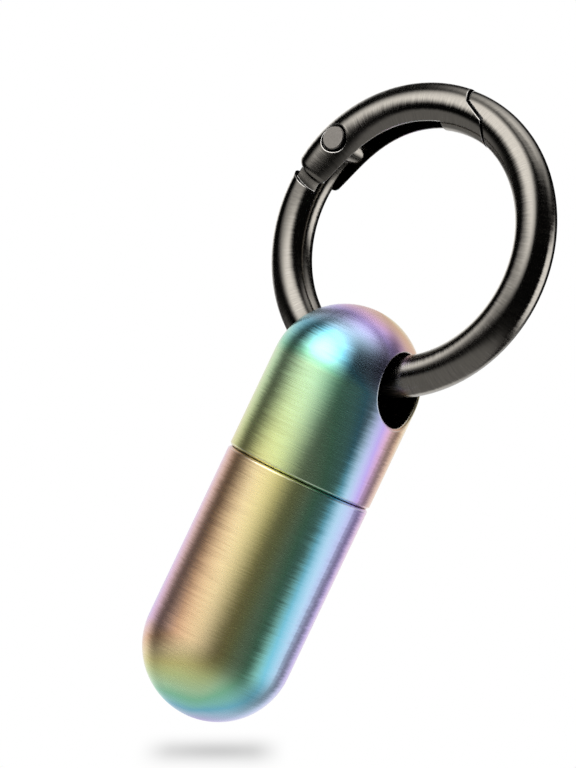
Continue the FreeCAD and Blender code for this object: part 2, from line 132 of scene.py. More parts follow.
# Rainbow film: one colour order, read at a thickness that changes round and along the capsule
FILM_COLOURS = [
    (0.00, "#DDB5B1"),
    (0.08, "#DDB18C"),
    (0.17, "#E4CE9D"),
    (0.25, "#D7CE89"),
    (0.32, "#C9D494"),
    (0.42, "#B7DAAE"),
    (0.50, "#90D1AD"),
    (0.57, "#8FD4C9"),
    (0.63, "#7CC6DC"),
    (0.70, "#B0D2EC"),
    (0.77, "#BCC3EC"),
    (0.85, "#BCA8E7"),
    (0.93, "#D7AED4"),
    (1.00, "#DDB5B1"),
]
# Degrees round the capsule's axis, and how far the film is through the colour order there
CAP_FILM = [
    (-180, 0.92), (-131, 1.33), (-85, 1.35), (-44, 1.51), (-18, 1.73),
    (6, 1.99), (45, 2.14), (110, 1.60), (180, 0.92),
]
TUBE_FILM = [
    (-180, 0.72), (-131, 1.02), (-82, 1.22), (-55, 1.33), (-38, 1.52),
    (-11, 1.74), (45, 1.98), (110, 1.42), (180, 0.72),
]
# Colour orders that the full height of such a curve stands for
FILM_ORDERS = 3
# Colour orders that the film gains for each metre up the wall
CAP_RISE = 0.011 / MM
TUBE_RISE = 0.004 / MM
# Sine of the slope over a dome, and how much further through the colour order the film is there
CAP_DOME = [(0, 0), (0.20, 0.13), (0.60, 0.27), (1, 0.62)]
TUBE_DOME = [(0, 0), (0.30, 0.08), (0.70, 0.27), (1, 0.54)]
# Where the film's course round the capsule is gathered to, and how much of it a pole gathers
FILM_MIDDLE = 1.33
GATHER = 0.75
# Depths under the capsule's outside where the film begins and where it is full
FILM_START = 0.6 * MM
FILM_FULL = 0.35 * MM

# Brush lines: breaks within a line, and the levels of the noise that its shade and gloss follow
LINE_DETAIL = 3.0
SHADE_LINES = (0.25, 0.75)
GLOSS_LINES = (0.2, 0.8)
# Brightness of the darkest and the lightest line, and their roughness against the mean
LINE_SHADES = (0.93, 1.05)
CAPSULE_GLOSS = (-0.05, 0.07)
RING_GLOSS = (-0.05, 0.08)

BARE_STEEL = "#6F6C68"
# Near-white steel and nickel for the painted highlight on edges
EDGE_HIGHLIGHT_STEEL = "#F1F0EA"
EDGE_HIGHLIGHT_NICKEL = "#F0EDE8"
NICKEL_TINTS = [(0.3, "#88847E"), (0.55, "#969189"), (0.75, "#A4A099")]
# How far the broken and the plain normal agree where an edge begins and where it is full
EDGE_MATCH = (0.99, 0.90)
EDGE_SAMPLES = 12
# Share of open sky where the painted shade in a corner is darkest and where it is clear, and the
# tint left in the darkest painted shade
PAINTED_SHADE_SKY = (0.55, 0.93)
PAINTED_SHADE_LEVEL = 0.03
CORNER_SAMPLES = 8
# Share of open sky where the painted highlight on an edge begins and where it is full
EDGE_HIGHLIGHT_SKY = (0.35, 0.55)
# Where the painted shade round the pin has faded out, as a multiple of its width
PIN_SHADE_FADE = 1.5

# Turned and drawn steel: grain of its mottling, dark and light tint, mean roughness and its spread
PIN_STEEL = (0.15 * MM, "#8A857F", "#9E9993", 0.35)
SPRING_STEEL = (0.2 * MM, "#77756F", "#A9A6A0", 0.3)
MOTTLE_GLOSS = 0.08

# Nitrile rubber: grain and height of its dust, tints, roughness and index of refraction
DUST_GRAIN = 0.25 * MM
DUST_HEIGHT = 0.02 * MM
RUBBER_TINTS = [(0.35, "#141414"), (0.75, "#2B2A29")]
RUBBER_GLOSS = (0.45, 0.75)
RUBBER_IOR = 1.52


def broken_edges(tree, radius):
    """The normal over broken edges, and the share of an edge at a spot."""
    normal = add_node(
        tree, "ShaderNodeBevel", {"Radius": radius}, samples=EDGE_SAMPLES
    ).outputs[0]
    flat = add_node(tree, "ShaderNodeNewGeometry").outputs["Normal"]
    match = add_node(
        tree, "ShaderNodeVectorMath", {0: normal, 1: flat}, operation="DOT_PRODUCT"
    ).outputs["Value"]
    edge = add_node(
        tree,
        "ShaderNodeMapRange",
        {"Value": match, "From Min": EDGE_MATCH[0], "From Max": EDGE_MATCH[1]},
    ).outputs[0]
    return normal, edge


def brushed_surface(tree, base, lines, gloss, normal, course, look):
    """Brushed metal. Its light spreads along the course, and each brush line leans the surface a
    little sideways from it, which feathers the edges of the light bands."""
    rough = add_node(
        tree,
        "ShaderNodeMapRange",
        {
            "Value": lines,
            "From Min": GLOSS_LINES[0],
            "From Max": GLOSS_LINES[1],
            "To Min": look.roughness + gloss[0],
            "To Max": look.roughness + gloss[1],
        },
    ).outputs[0]
    course = add_node(
        tree,
        "ShaderNodeVectorTransform",
        {0: course},
        vector_type="VECTOR",
        convert_from="OBJECT",
        convert_to="WORLD",
    ).outputs[0]
    sideways = add_node(
        tree, "ShaderNodeVectorMath", {0: course, 1: normal}, operation="CROSS_PRODUCT"
    ).outputs[0]
    lean = add_node(
        tree,
        "ShaderNodeMapRange",
        {"Value": lines, "To Min": -look.feather, "To Max": look.feather},
    ).outputs[0]
    push = add_node(
        tree, "ShaderNodeVectorMath", {0: sideways, "Scale": lean}, operation="SCALE"
    ).outputs[0]
    leaned = add_node(
        tree, "ShaderNodeVectorMath", {0: normal, 1: push}, operation="ADD"
    ).outputs[0]
    leaned = add_node(
        tree, "ShaderNodeVectorMath", {0: leaned}, operation="NORMALIZE"
    ).outputs[0]
    surface = add_node(
        tree,
        "ShaderNodeBsdfPrincipled",
        {
            "Base Color": base,
            "Metallic": 1.0,
            "Roughness": rough,
            "Anisotropic": look.anisotropy,
            "Normal": leaned,
            "Tangent": course,
        },
    ).outputs[0]
    add_node(tree, "ShaderNodeOutputMaterial", {"Surface": surface})


def capsule_film(name, film, dome, rise, look):
    """Brushed steel under a rainbow interference film: soft bands of light that run the length of
    the capsule, feathered by fine lines round it, in colours that drift round and along it."""
    material, tree = new_material(name)
    spot = add_node(tree, "ShaderNodeTexCoord").outputs["Object"]
    height = add_node(tree, "ShaderNodeSeparateXYZ", {0: spot}).outputs["Z"]
    core_z = add_node(
        tree, "ShaderNodeClamp", {0: height, 1: TUBE_DOME_Z, 2: CAP_DOME_Z}
    ).outputs[0]
    core = add_node(tree, "ShaderNodeCombineXYZ", {"Z": core_z}).outputs[0]
    arm = add_node(
        tree, "ShaderNodeVectorMath", {0: spot, 1: core}, operation="SUBTRACT"
    ).outputs[0]
    reach = add_node(tree, "ShaderNodeVectorMath", {0: arm}, operation="LENGTH").outputs["Value"]
    outward = add_node(tree, "ShaderNodeVectorMath", {0: arm}, operation="NORMALIZE").outputs[0]
    parts = add_node(tree, "ShaderNodeSeparateXYZ", {0: outward}).outputs
    azimuth = add_node(
        tree, "ShaderNodeMath", {0: parts["Y"], 1: parts["X"]}, operation="ARCTAN2"
    ).outputs[0]
    turn = add_node(
        tree,
        "ShaderNodeMapRange",
        {"Value": azimuth, "From Min": -math.pi, "From Max": math.pi},
    ).outputs[0]

    # Film thickness: round the axis, up the wall and over the dome
    around = add_node(
        tree,
        "ShaderNodeFloatCurve",
        {"Value": turn},
        points=[((angle + 180) / 360, order / FILM_ORDERS) for angle, order in film],
    ).outputs[0]
    climb = add_node(
        tree,
        "ShaderNodeMath",
        {0: core_z, 1: rise, 2: -rise * TUBE_HIGH[2]},
        operation="MULTIPLY_ADD",
    ).outputs[0]
    tilt = add_node(tree, "ShaderNodeMath", {0: parts["Z"]}, operation="ABSOLUTE").outputs[0]
    course = add_node(
        tree,
        "ShaderNodeMath",
        {0: around, 1: FILM_ORDERS, 2: -FILM_MIDDLE},
        operation="MULTIPLY_ADD",
    ).outputs[0]
    kept = add_node(
        tree, "ShaderNodeMath", {0: tilt, 1: -GATHER, 2: 1.0}, operation="MULTIPLY_ADD"
    ).outputs[0]
    climb = add_node(
        tree, "ShaderNodeMath", {0: climb, 1: FILM_MIDDLE}, operation="ADD"
    ).outputs[0]
    thickness = add_node(
        tree, "ShaderNodeMath", {0: course, 1: kept, 2: climb}, operation="MULTIPLY_ADD"
    ).outputs[0]
    bow = add_node(tree, "ShaderNodeFloatCurve", {"Value": tilt}, points=dome).outputs[0]
    thickness = add_node(
        tree, "ShaderNodeMath", {0: thickness, 1: bow}, operation="ADD"
    ).outputs[0]

    # Brush lines: fine along the wall, long round it. Real ones are some hundredths of a
    # millimetre apart, too fine to show, so they are drawn coarser
    latitude = add_node(tree, "ShaderNodeMath", {0: parts["Z"]}, operation="ARCSINE").outputs[0]
    along = add_node(
        tree,
        "ShaderNodeMath",
        {0: latitude, 1: CAPSULE_RADIUS, 2: core_z},
        operation="MULTIPLY_ADD",
    ).outputs[0]
    along = add_node(
        tree, "ShaderNodeMath", {0: along, 1: look.line_width}, operation="DIVIDE"
    ).outputs[0]
    around_x, around_y = (
        add_node(
            tree, "ShaderNodeMath", {0: parts[side], 1: look.line_turns}, operation="MULTIPLY"
        ).outputs[0]
        for side in "XY"
    )
    streak = add_node(
        tree, "ShaderNodeCombineXYZ", {0: around_x, 1: around_y, 2: along}
    ).outputs[0]
    lines = add_node(
        tree,
        "ShaderNodeTexNoise",
        {"Vector": streak, "Scale": 1.0, "Detail": LINE_DETAIL, "Roughness": 0.7},
    ).outputs["Fac"]

    # The film's colour, a little uneven from line to line
    wander = add_node(
        tree,
        "ShaderNodeMath",
        {0: lines, 1: look.film_wander, 2: thickness},
        operation="MULTIPLY_ADD",
    ).outputs[0]
    order = add_node(tree, "ShaderNodeMath", {0: wander}, operation="FRACT").outputs[0]
    colour = add_node(tree, "ShaderNodeValToRGB", {"Fac": order}, stops=FILM_COLOURS).outputs[0]
    shade = add_node(
        tree,
        "ShaderNodeMapRange",
        {
            "Value": lines,
            "From Min": SHADE_LINES[0],
            "From Max": SHADE_LINES[1],
            "To Min": LINE_SHADES[0],
            "To Max": LINE_SHADES[1],
        },
    ).outputs[0]
    coated = add_node(
        tree, "ShaderNodeVectorMath", {0: colour, "Scale": shade}, operation="SCALE"
    ).outputs[0]

    # Inside, where the film does not reach, the steel is dark and plain
    outside = add_node(
        tree,
        "ShaderNodeMapRange",
        {
            "Value": reach,
            "From Min": CAPSULE_RADIUS - FILM_START,
            "From Max": CAPSULE_RADIUS - FILM_FULL,
        },
    ).outputs[0]
    base = add_node(
        tree, "ShaderNodeMix", {0: outside, 6: linear(BARE_STEEL), 7: coated}, data_type="RGBA"
    ).outputs[2]
    normal, edge = broken_edges(tree, look.edge_break)
    # Painted highlight: the outside edges are lightened towards near-white steel
    edge = add_node(
        tree, "ShaderNodeMath", {0: edge, 1: outside}, operation="MULTIPLY"
    ).outputs[0]
    base = add_node(
        tree, "ShaderNodeMix", {0: edge, 6: base, 7: linear(EDGE_HIGHLIGHT_STEEL)}, data_type="RGBA"
    ).outputs[2]
    brushed_surface(tree, base, lines, CAPSULE_GLOSS, normal, (0.0, 0.0, 1.0), look)
    return material


def ring_nickel(name, look):
    """Brushed black nickel: hard bands of light along the wire, feathered by lines across it."""
    material, tree = new_material(name)
    spot = add_node(tree, "ShaderNodeTexCoord").outputs["Object"]
    parts = add_node(tree, "ShaderNodeSeparateXYZ", {0: spot}).outputs
    angle = add_node(
        tree, "ShaderNodeMath", {0: parts["Z"], 1: parts["X"]}, operation="ARCTAN2"
    ).outputs[0]
    along = add_node(
        tree, "ShaderNodeMath", {0: angle, 1: RING_RADIUS / look.line_width}, operation="MULTIPLY"
    ).outputs[0]
    flat = add_node(tree, "ShaderNodeCombineXYZ", {0: parts["X"], 2: parts["Z"]}).outputs[0]
    radius = add_node(tree, "ShaderNodeVectorMath", {0: flat}, operation="LENGTH").outputs["Value"]

    # Brush lines across the wire, drawn coarser than real ones so that they show
    stretch = 1 / look.line_length
    across_out = add_node(
        tree, "ShaderNodeMath", {0: radius, 1: stretch}, operation="MULTIPLY"
    ).outputs[0]
    across_side = add_node(
        tree, "ShaderNodeMath", {0: parts["Y"], 1: stretch}, operation="MULTIPLY"
    ).outputs[0]
    streak = add_node(
        tree, "ShaderNodeCombineXYZ", {0: along, 1: across_out, 2: across_side}
    ).outputs[0]
    lines = add_node(
        tree,
        "ShaderNodeTexNoise",
        {"Vector": streak, "Scale": 1.0, "Detail": LINE_DETAIL, "Roughness": 0.65},
    ).outputs["Fac"]
    tint = add_node(tree, "ShaderNodeValToRGB", {"Fac": lines}, stops=NICKEL_TINTS).outputs[0]

    # Painted shade darkens the plating in corners and in a ring round the pin, and a painted
    # highlight lightens its edges
    sky = add_node(
        tree,
        "ShaderNodeAmbientOcclusion",
        {"Distance": look.corner_reach},
        samples=CORNER_SAMPLES,
    ).outputs["AO"]
    depth = add_node(
        tree,
        "ShaderNodeMapRange",
        {
            "Value": sky,
            "From Min": PAINTED_SHADE_SKY[0],
            "From Max": PAINTED_SHADE_SKY[1],
            "To Min": PAINTED_SHADE_LEVEL,
        },
    ).outputs[0]
    edge_highlight_share = add_node(
        tree,
        "ShaderNodeMapRange",
        {"Value": sky, "From Min": EDGE_HIGHLIGHT_SKY[0], "From Max": EDGE_HIGHLIGHT_SKY[1]},
    ).outputs[0]
    off_pin = add_node(
        tree, "ShaderNodeVectorMath", {0: flat, 1: (PIN.x, 0.0, PIN.z)}, operation="DISTANCE"
    ).outputs["Value"]
    # Painted shade: a dark ring round the pin, fading out beyond its width
    recess = add_node(
        tree,
        "ShaderNodeMapRange",
        {
            "Value": off_pin,
            "From Min": PIN_RADIUS + look.pin_shade_width,
            "From Max": PIN_RADIUS + PIN_SHADE_FADE * look.pin_shade_width,
            "To Min": PAINTED_SHADE_LEVEL,
        },
    ).outputs[0]
    depth = add_node(
        tree, "ShaderNodeMath", {0: depth, 1: recess}, operation="MULTIPLY"
    ).outputs[0]
    base = add_node(
        tree, "ShaderNodeVectorMath", {0: tint, "Scale": depth}, operation="SCALE"
    ).outputs[0]
    normal, edge = broken_edges(tree, look.edge_break)
    # Painted highlight: edges out in the open are lightened towards near-white nickel
    edge = add_node(tree, "ShaderNodeMath", {0: edge, 1: edge_highlight_share}, operation="MULTIPLY").outputs[0]
    base = add_node(
        tree, "ShaderNodeMix", {0: edge, 6: base, 7: linear(EDGE_HIGHLIGHT_NICKEL)}, data_type="RGBA"
    ).outputs[2]

    # The wire's own course round the ring
    back_x = add_node(
        tree, "ShaderNodeMath", {0: parts["Z"], 1: -1.0}, operation="MULTIPLY"
    ).outputs[0]
    course = add_node(tree, "ShaderNodeCombineXYZ", {0: back_x, 2: parts["X"]}).outputs[0]
    course = add_node(
        tree, "ShaderNodeVectorMath", {0: course}, operation="NORMALIZE"
    ).outputs[0]
    brushed_surface(tree, base, lines, RING_GLOSS, normal, course, look)
    return material


def plain_metal(name, grain, dark, light, roughness):
    """Turned or drawn steel: an even grey sheen with fine mottling."""
    material, tree = new_material(name)
    spot = add_node(tree, "ShaderNodeTexCoord").outputs["Object"]
    mottle = add_node(
        tree,
        "ShaderNodeTexNoise",
        {"Vector": spot, "Scale": 1 / grain, "Detail": 4.0, "Roughness": 0.6},
    ).outputs["Fac"]
    tint = add_node(
        tree, "ShaderNodeValToRGB", {"Fac": mottle}, stops=[(0.3, dark), (0.7, light)]
    ).outputs[0]
    rough = add_node(
        tree,
        "ShaderNodeMapRange",
        {"Value": mottle, "To Min": roughness - MOTTLE_GLOSS, "To Max": roughness + MOTTLE_GLOSS},
    ).outputs[0]
    surface = add_node(
        tree,
        "ShaderNodeBsdfPrincipled",
        {"Base Color": tint, "Metallic": 1.0, "Roughness": rough},
    ).outputs[0]
    add_node(tree, "ShaderNodeOutputMaterial", {"Surface": surface})
    return material


def seal_nitrile(name):
    """Moulded nitrile rubber: a near-black, slightly dusty matt that catches only a dull sheen."""
    material, tree = new_material(name)
    spot = add_node(tree, "ShaderNodeTexCoord").outputs["Object"]
    dust = add_node(
        tree, "ShaderNodeTexNoise", {"Vector": spot, "Scale": 1 / DUST_GRAIN, "Detail": 5.0}
    ).outputs["Fac"]
    tint = add_node(tree, "ShaderNodeValToRGB", {"Fac": dust}, stops=RUBBER_TINTS).outputs[0]
    rough = add_node(
        tree,
        "ShaderNodeMapRange",
        {"Value": dust, "To Min": RUBBER_GLOSS[0], "To Max": RUBBER_GLOSS[1]},
    ).outputs[0]
    bump = add_node(
        tree, "ShaderNodeBump", {"Height": dust, "Strength": 0.2, "Distance": DUST_HEIGHT}
    ).outputs[0]
    surface = add_node(
        tree,
        "ShaderNodeBsdfPrincipled",
        {"Base Color": tint, "Roughness": rough, "Normal": bump, "IOR": RUBBER_IOR},
    ).outputs[0]
    add_node(tree, "ShaderNodeOutputMaterial", {"Surface": surface})
    return material


class FobCapsuleLook(bpy.types.PropertyGroup):
    """The capsule's brushed finish."""

    line_width: bpy.props.FloatProperty(
        name="Line width", description="Distance between brush lines",
        default=0.2 * MM, unit="LENGTH", precision=5,
    )
    line_turns: bpy.props.FloatProperty(
        name="Line breaks", description="How often a brush line changes in a radian round the axis",
        default=1.6,
    )
    film_wander: bpy.props.FloatProperty(
        name="Film wander", description="How far the film's colour wanders from line to line",
        default=0.03,
    )
    feather: bpy.props.FloatProperty(
        name="Feather", description="Sideways lean of the lines, as a slope",
        default=0.08,
    )
    roughness: bpy.props.FloatProperty(
        name="Roughness", description="Mean roughness",
        default=0.26, subtype="FACTOR",
    )
    anisotropy: bpy.props.FloatProperty(
        name="Anisotropy",
        description="How much more the light spreads along the capsule than round it",
        default=0.8, subtype="FACTOR",
    )
    edge_break: bpy.props.FloatProperty(
        name="Edge break", description="Radius of the broken edges",
        default=0.24 * MM, unit="LENGTH", precision=5,
    )


class FobRingLook(bpy.types.PropertyGroup):
    """The ring's brushed finish, and the reach and width of its painted shade."""

    line_width: bpy.props.FloatProperty(
        name="Line width", description="Distance between brush lines",
        default=0.14 * MM, unit="LENGTH", precision=5,
    )
    line_length: bpy.props.FloatProperty(
        name="Line length", description="Length of a brush line across the wire",
        default=2.5 * MM, unit="LENGTH", precision=5,
    )
    feather: bpy.props.FloatProperty(
        name="Feather", description="Sideways lean of the lines, as a slope",
        default=0.06,
    )
    roughness: bpy.props.FloatProperty(
        name="Roughness", description="Mean roughness",
        default=0.15, subtype="FACTOR",
    )
    anisotropy: bpy.props.FloatProperty(
        name="Anisotropy",
        description="How much more the light spreads along the wire than across it",
        default=0.85, subtype="FACTOR",
    )
    edge_break: bpy.props.FloatProperty(
        name="Edge break", description="Radius of the broken edges",
        default=0.18 * MM, unit="LENGTH", precision=5,
    )
    # Reach of the painted shade in corners
    corner_reach: bpy.props.FloatProperty(
        name="Corner reach", description="Distance over which a corner darkens",
        default=2.5 * MM, unit="LENGTH", precision=5,
    )
    # Width of the painted shade in a ring round the pin
    pin_shade_width: bpy.props.FloatProperty(
        name="Pin recess", description="Width of the dark recess round the pin",
        default=0.2 * MM, unit="LENGTH", precision=5,
    )


class FobSpringSize(bpy.types.PropertyGroup):
    """The gate spring's wire and route."""

    wire_diameter: bpy.props.FloatProperty(
        name="Wire", description="Wire diameter",
        default=0.35 * MM, unit="LENGTH", precision=5,
    )
    coil_radius: bpy.props.FloatProperty(
        name="Coil radius", description="Radius at the middle of the wire",
        default=1.45 * MM, unit="LENGTH", precision=5,
    )
    pitch: bpy.props.FloatProperty(
        name="Pitch", description="Step from turn to turn",
        default=0.8 * MM, unit="LENGTH", precision=5,
    )
    leg: bpy.props.FloatProperty(
        name="Leg", description="Length of each straight leg",
        default=5 * MM, unit="LENGTH", precision=5,
    )
    start_angle: bpy.props.FloatProperty(
        name="Start", description="Angle round the pin where the coil starts",
        default=math.radians(147.5), subtype="ANGLE",
    )
    sweep: bpy.props.FloatProperty(
        name="Sweep", description="Angle that the coil goes round",
        default=math.radians(752.5), subtype="ANGLE",
    )


class FobSealSize(bpy.types.PropertyGroup):
    """The seal ring's moulding."""

    flash: bpy.props.FloatProperty(
        name="Flash", description="Height of the moulding line",
        default=0.03 * MM, unit="LENGTH", precision=5,
    )
    flash_spread: bpy.props.FloatProperty(
        name="Flash spread", description="Half width of the moulding line round the section",
        default=math.radians(5), subtype="ANGLE",
    )


class FobStageLook(bpy.types.PropertyGroup):
    """Camera, light and floor."""

    camera_place: bpy.props.FloatVectorProperty(
        name="Camera", description="Place of the camera",
        default=(0.262, -0.389, -0.0078), subtype="TRANSLATION", unit="LENGTH",
    )
    camera_aim: bpy.props.FloatVectorProperty(
        name="Aim", description="Direction that the camera looks in",
        default=(-0.5687, 0.8221, -0.0291), subtype="DIRECTION",
    )
    camera_up: bpy.props.FloatVectorProperty(
        name="Up", description="Direction that is up in the picture",
        default=(-0.3683, -0.2229, 0.9027), subtype="DIRECTION",
    )
    lens: bpy.props.FloatProperty(
        name="Lens", description="Focal length in millimetres",
        default=187.5,
    )
    floor_gap: bpy.props.FloatProperty(
        name="Floor gap", description="Clear height of the capsule over the floor",
        default=3.5 * MM, unit="LENGTH", precision=5,
    )
    floor_radius: bpy.props.FloatProperty(
        name="Floor", description="Radius of the floor",
        default=14.5 * MM, unit="LENGTH", precision=5,
    )
    shadow_even: bpy.props.FloatProperty(
        name="Shadow core", description="Half width over which the shadow is full",
        default=4.5 * MM, unit="LENGTH", precision=5,
    )
    shadow_width: bpy.props.FloatProperty(
        name="Shadow width", description="Half width at which the shadow has faded out",
        default=9.3 * MM, unit="LENGTH", precision=5,
    )
    shadow_depth: bpy.props.FloatProperty(
        name="Shadow depth", description="Half depth at which the shadow has faded out",
        default=14 * MM, unit="LENGTH", precision=5,
    )
    shadow_strength: bpy.props.FloatProperty(
        name="Shadow strength", description="Share of the shut-out light that the shadow shows",
        default=0.71, subtype="FACTOR",
    )
    shadow_shift: bpy.props.FloatProperty(
        name="Shadow shift", description="Distance that the shadow lies to the left",
        default=0.9 * MM, unit="LENGTH", precision=5,
    )
    floor_tilt: bpy.props.FloatProperty(
        name="Floor tilt", description="Tilt of the floor towards the camera",
        default=math.radians(5.5), subtype="ANGLE",
    )
    tent_radius: bpy.props.FloatProperty(
        name="Tent", description="Radius of the inner light tent",
        default=0.85, unit="LENGTH",
    )
    tent_gap: bpy.props.FloatProperty(
        name="Tent gap", description="Distance between the inner and the outer light tent",
        default=0.05, unit="LENGTH",
    )


class FOB_OT_capsule(bpy.types.Operator):
    """Finish the two halves of the capsule"""

    bl_idname = "fob.capsule"
    bl_label = "Finish Capsule"

    def execute(self, context):
        look = context.scene.fob_capsule
        cap = capsule_film(
            "Brushed Steel, Rainbow Film, Cap", CAP_FILM, CAP_DOME, CAP_RISE, look
        )
        tube = capsule_film(
            "Brushed Steel, Rainbow Film, Tube", TUBE_FILM, TUBE_DOME, TUBE_RISE, look
        )
        finish_node("capsule_cap", cap)
        finish_node("capsule_tube", tube)
        return {"FINISHED"}


class FOB_OT_ring(bpy.types.Operator):
    """Finish the ring, its gate and the hinge pin"""

    bl_idname = "fob.ring"
    bl_label = "Finish Ring"

    def execute(self, context):
        nickel = ring_nickel("Brushed Black Nickel", context.scene.fob_ring)
        finish_node("ring_body", nickel)
        finish_node("ring_gate", nickel)
        finish_node("hinge_pin", plain_metal("Turned Steel", *PIN_STEEL))
        return {"FINISHED"}


# Steps in a turn of the spring, and sides of its wire
COIL_STEPS = 24
WIRE_SIDES = 16


def spring_points(size):
    """Points along the spring: a leg under the gate, the coil round the pin, and a leg down the
    tongue."""
    steps = COIL_STEPS * math.ceil(size.sweep / (2 * math.pi))
    width = size.pitch * size.sweep / (2 * math.pi)
    coil = []
    for step in range(steps + 1):
        share = step / steps
        angle = size.start_angle + share * size.sweep
        side = width * (share - 0.5)
        out = Vector((math.cos(angle), 0, math.sin(angle)))
        coil.append(PIN + out * size.coil_radius + Vector((0, side, 0)))
    last = size.start_angle + size.sweep
    first_aim = Vector((-math.sin(size.start_angle), 0, math.cos(size.start_angle)))
    last_aim = Vector((-math.sin(last), 0, math.cos(last)))
    return [coil[0] - first_aim * size.leg] + coil + [coil[-1] + last_aim * size.leg]


def wire_tree(material):
    """A tree that sweeps a round wire along a path."""
    tree = bpy.data.node_groups.new("Spring Wire", "GeometryNodeTree")
    tree.interface.new_socket("Path", in_out="INPUT", socket_type="NodeSocketGeometry")
    radius = tree.interface.new_socket("Wire Radius", in_out="INPUT", socket_type="NodeSocketFloat")
    tree.interface.new_socket("Wire", in_out="OUTPUT", socket_type="NodeSocketGeometry")
    given = add_node(tree, "NodeGroupInput")
    section = add_node(
        tree,
        "GeometryNodeCurvePrimitiveCircle",
        {"Resolution": WIRE_SIDES, "Radius": given.outputs["Wire Radius"]},
    ).outputs[0]
    swept = add_node(
        tree,
        "GeometryNodeCurveToMesh",
        {"Curve": given.outputs["Path"], "Profile Curve": section, "Fill Caps": True},
    ).outputs[0]
    smooth = add_node(tree, "GeometryNodeSetShadeSmooth", {"Geometry": swept}).outputs[0]
    real = add_node(tree, "GeometryNodeRealizeInstances", {"Geometry": smooth}).outputs[0]
    dressed = add_node(
        tree, "GeometryNodeSetMaterial", {"Geometry": real, "Material": material}
    ).outputs[0]
    add_node(tree, "NodeGroupOutput", {"Wire": dressed})
    return tree, radius.identifier


class FOB_OT_spring(bpy.types.Operator):
    """Wind the gate spring"""

    bl_idname = "fob.spring"
    bl_label = "Wind Spring"

    def execute(self, context):
        size = context.scene.fob_spring
        points = spring_points(size)
        curve = bpy.data.curves.new("spring_route", "CURVE")
        curve.dimensions = "3D"
        spline = curve.splines.new("POLY")
        spline.points.add(len(points) - 1)
        for point, spot in zip(spline.points, points):
            point.co = (*spot, 1.0)
        route = bpy.data.objects.new("spring_route", curve)
        context.scene.collection.objects.link(route)
        steel = plain_metal("Drawn Spring Steel", *SPRING_STEEL)
        tree, radius = wire_tree(steel)
        sweep = route.modifiers.new("wire", "NODES")
        sweep.node_group = tree
        sweep[radius] = size.wire_diameter / 2
        evaluated = route.evaluated_get(context.evaluated_depsgraph_get())
        mesh = bpy.data.meshes.new_from_object(evaluated)
        spring = bpy.data.objects.new("torsion_spring", mesh)
        context.scene.collection.objects.link(spring)
        bpy.data.objects.remove(route)
        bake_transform(spring)
        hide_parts("gate_spring")
        return {"FINISHED"}


# Steps round the seal ring, and round its section
SEAL_ROUNDS = 120
SEAL_SIDES = 40


class FOB_OT_seal(bpy.types.Operator):
    """Mould the seal ring"""

    bl_idname = "fob.seal"
    bl_label = "Mould Seal"

    def execute(self, context):
        size = context.scene.fob_seal
        section = (SEAL_HIGH[2] - SEAL_LOW[2]) / 2
        middle = SEAL_HIGH[0] - section
        centre_z = (SEAL_HIGH[2] + SEAL_LOW[2]) / 2
        rounds, sides = SEAL_ROUNDS, SEAL_SIDES
        spots = []
        for turn in range(rounds):
            about = 2 * math.pi * turn / rounds
            for side in range(sides):
                angle = 2 * math.pi * side / sides
                off = min(abs(angle), abs(angle - math.pi), abs(angle - 2 * math.pi))
                flash = size.flash * math.exp(-((off / size.flash_spread) ** 2))
                reach = section - size.flash + flash
                radius = middle + reach * math.cos(angle)
                height = centre_z + reach * math.sin(angle)
                spots.append((radius * math.cos(about), radius * math.sin(about), height))
        faces = []
        for turn in range(rounds):
            here, there = turn * sides, (turn + 1) % rounds * sides
            for side in range(sides):
                following = (side + 1) % sides
                faces.append((here + side, there + side, there + following, here + following))
        mesh = bpy.data.meshes.new("o_ring")
        mesh.from_pydata(spots, [], faces)
        mesh.shade_smooth()
        mesh.materials.append(seal_nitrile("Moulded Nitrile Rubber"))
        seal = bpy.data.objects.new("o_ring", mesh)
        context.scene.collection.objects.link(seal)
        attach(seal, "seal")
        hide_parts("seal_ring")
        return {"FINISHED"}


class Softbox(NamedTuple):
    """A patch of light on a tent, in degrees: the angle round the fob and the height of its middle,
    how far it is even each way from there, and over how much more it fades out."""

    turn: float
    wide: float
    wide_fade: float
    height: float
    tall: float
    tall_fade: float
    light: float


# A tent for the capsule, and a darker one with harder lights for the ring, each with the light of
# its bare cloth
CAPSULE_TENT = {
    "roof": Softbox(0, 180, 1, 90, 3, 37, 1.70),
    "floor": Softbox(0, 180, 1, -90, 32, 36, 0.70),
    "low fill": Softbox(0, 180, 1, -22, 14, 30, 0.13),
    "key": Softbox(-110, 5, 52, 32, 9, 22, 3.80),
    "key apron": Softbox(-109, 4, 54, -6, 1, 40, 0.80),
    "right strip": Softbox(37, 8, 32, -5, 1, 33, 1.15),
    "right fill": Softbox(60, 8, 34, 30, 5, 26, 0.60),
    "back fill": Softbox(129, 30, 34, 15, 36, 32, 0.85),
}
CAPSULE_SHADE = 0.01
RING_TENT = {
    "roof": Softbox(0, 180, 1, 90, 14, 13, 0.60),
    "floor": Softbox(0, 180, 1, -90, 53, 13, 0.30),
    "key": Softbox(-112, 17, 31, 30, 13, 26, 2.30),
    "right strip": Softbox(48, 10, 18, 8, 12, 13, 2.10),
    "low fill": Softbox(104, 12, 26, -28, 12, 16, 0.90),
    "back strip": Softbox(144, 13, 20, 2, 6, 20, 1.70),
    "back fill": Softbox(124, 30, 90, 73, 11, 23, 1.00),
}
RING_SHADE = 0.005
TENT_ROUNDS = 96
TENT_RINGS = 48

# Floor, surround and camera
FLOOR_SIDES = 96
SHADOW_SAMPLES = 16
WHITE = "#FFFFFF"
# Light of the white surround on matt surfaces, and as it is seen
SURROUND_LIGHT = (0.7, 1.0)
CLIP_START = 10 * MM


